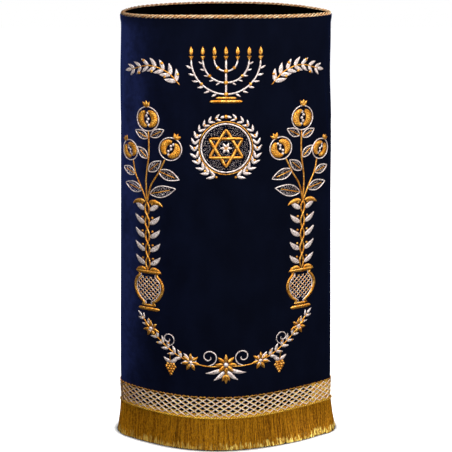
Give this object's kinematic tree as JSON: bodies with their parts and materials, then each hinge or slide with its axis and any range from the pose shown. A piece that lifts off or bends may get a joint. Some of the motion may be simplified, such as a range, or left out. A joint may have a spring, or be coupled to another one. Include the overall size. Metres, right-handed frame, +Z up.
{
  "type": "torah mantle",
  "caption": "Fitted velvet cover for a scroll: a lens-shaped sleeve, open at top and foot, with a twisted cord round the rim and a lattice braid and fringe round the hem.",
  "frame": {"origin": "middle of the floor under the hem", "axes": "+Z up, the height of the cover; X across its wide front, +X to the viewer's right; the embroidered front faces -Y"},
  "size_m": [0.3875, 0.1968, 0.742],
  "materials": {
    "velvet": "blue-black cotton velvet with a short pile",
    "black_satin": "plain black lining cloth",
    "gold_cord": "twisted metallic gold thread",
    "silver_lattice": "woven silver and gold metallic thread",
    "gold_fringe": "fine gold thread with bright cut tips"
  },
  "bodies": {
    "root": {"front_panel": "velvet", "back_panel": "velvet", "lining": "black_satin", "rim_cord": "gold_cord", "lattice_braid": "silver_lattice", "fringe": "gold_fringe"}
  },
  "joints": []
}
